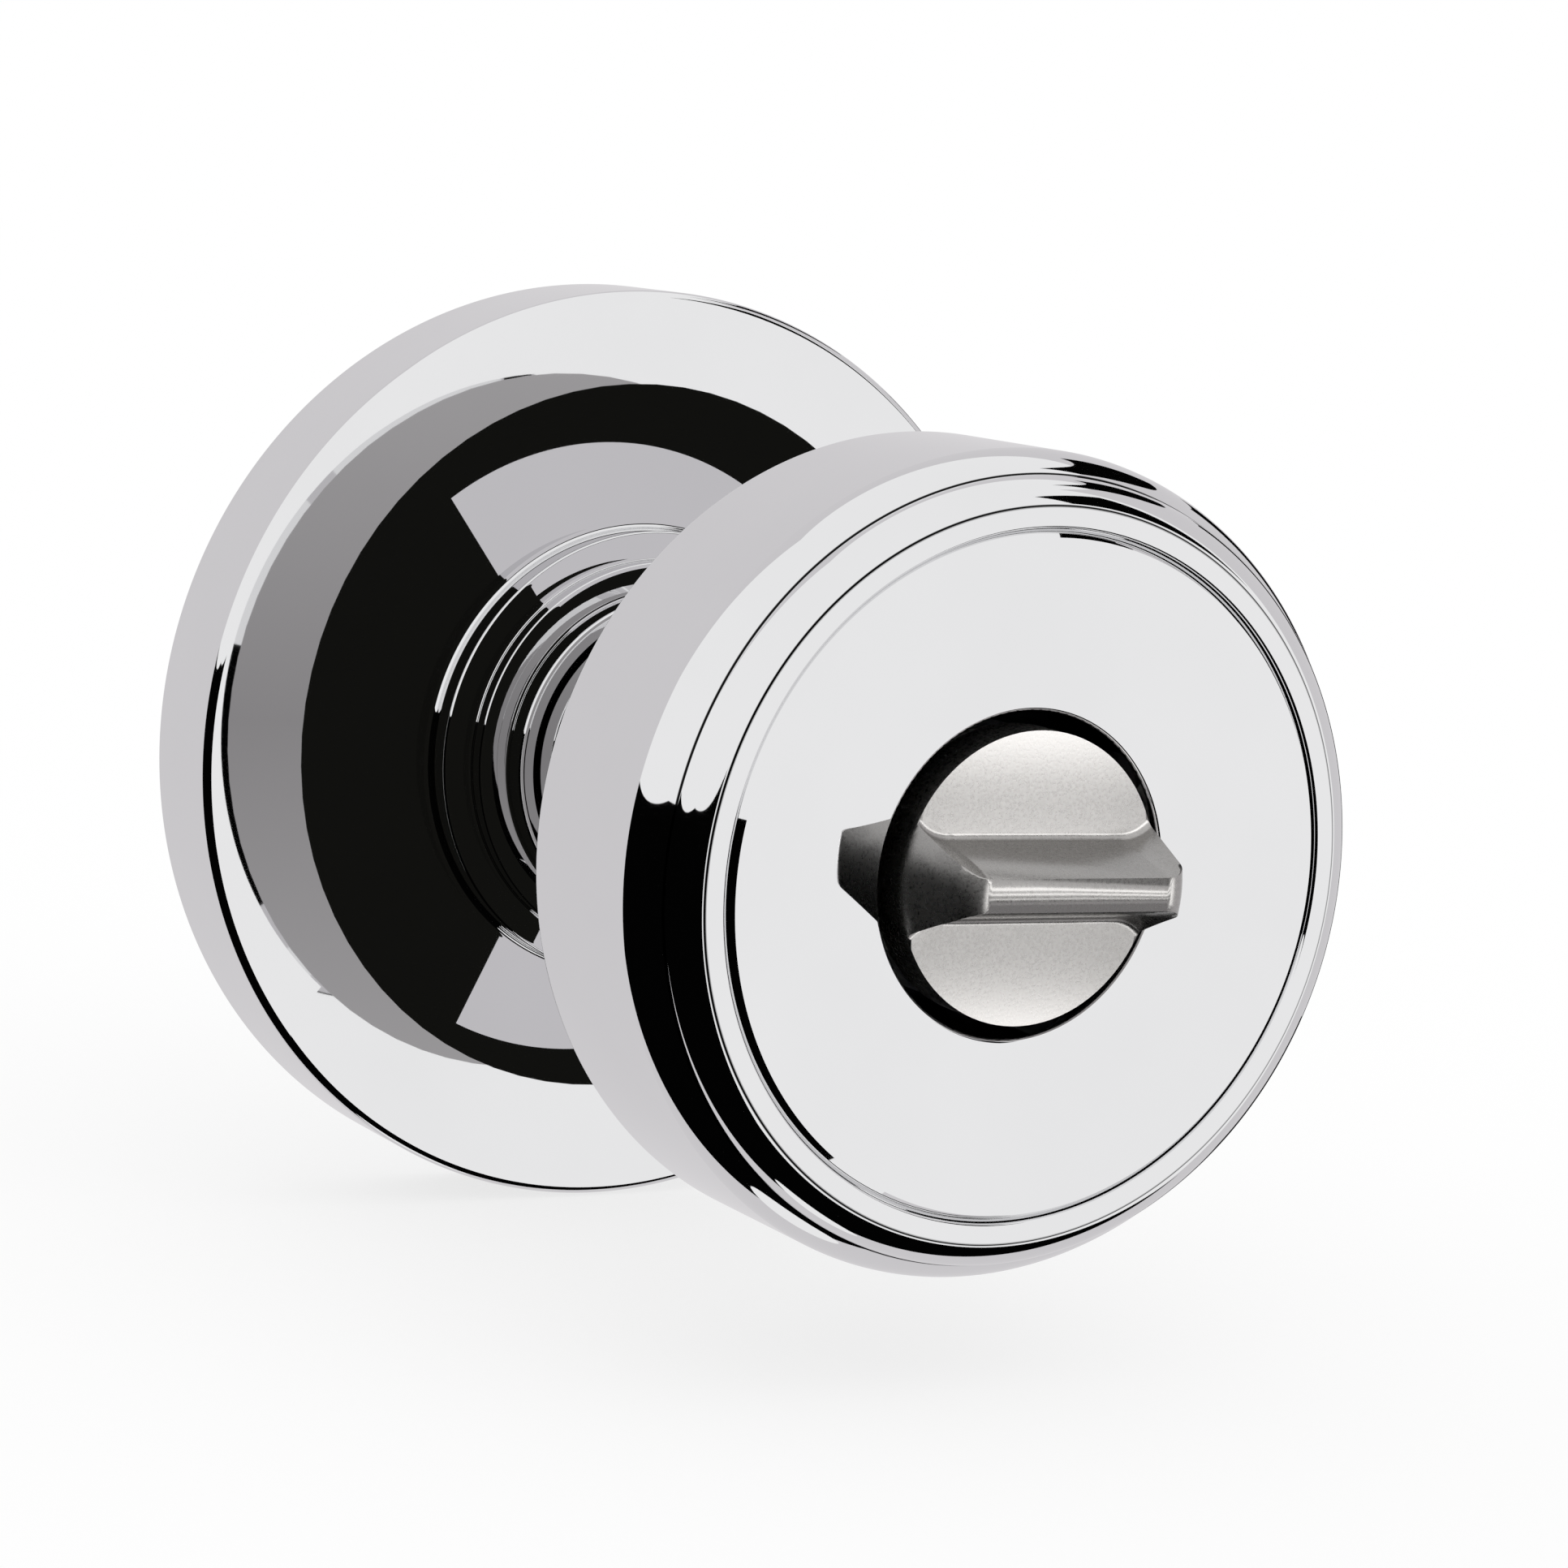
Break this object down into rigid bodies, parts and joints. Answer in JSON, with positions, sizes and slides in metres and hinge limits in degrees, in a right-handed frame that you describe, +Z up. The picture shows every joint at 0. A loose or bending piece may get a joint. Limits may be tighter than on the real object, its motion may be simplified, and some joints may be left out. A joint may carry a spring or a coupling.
{
  "type": "privacy door knob",
  "caption": "Round polished door knob with a turn button in its face, on a stepped round rose, with a sprung return, a square spindle and threaded posts for screws through the door.",
  "frame": {"origin": "on the axis of the knob and spindle, in the plane of the door face that the rose rests on", "axes": "+Y into the door along the spindle, so the knob points along -Y; +Z up; +X to the right as seen from the room"},
  "size_m": [0.0666, 0.1238, 0.0666],
  "materials": {
    "chrome": "polished chrome plate",
    "satin_nickel": "satin nickel, fine grain",
    "zinc_plated_steel": "bright zinc plate",
    "spring_steel": "oiled spring steel",
    "acetal": "natural acetal"
  },
  "bodies": {
    "mount": {"rose": "chrome", "mounting_plate": "zinc_plated_steel", "left_post": "zinc_plated_steel", "right_post": "zinc_plated_steel", "bearing_bush": "acetal", "return_spring": "spring_steel", "neck_washer": "acetal"},
    "knob": {"knob_shell": "chrome", "knob_face": "chrome", "knob_shank": "zinc_plated_steel", "thrust_washer": "acetal", "drive_plate": "zinc_plated_steel", "retaining_ring": "spring_steel", "spindle": "zinc_plated_steel", "button_bush": "acetal", "friction_washer": "spring_steel"},
    "button": {"turn_button": "satin_nickel", "button_clip": "spring_steel", "lock_bar": "zinc_plated_steel", "bar_pin": "spring_steel"}
  },
  "joints": [
    {"name": "knob_turn", "type": "hinge", "parent": "mount", "child": "knob", "pos_m": [0, 0, 0], "axis": [0, 1, 0], "range_deg": [-55, 55], "stiffness_Nm_per_rad": 0.3, "deforming": ["return_spring"]},
    {"name": "button_turn", "type": "hinge", "parent": "knob", "child": "button", "pos_m": [0, 0, 0], "axis": [0, 1, 0], "range_deg": [0, 90]}
  ]
}
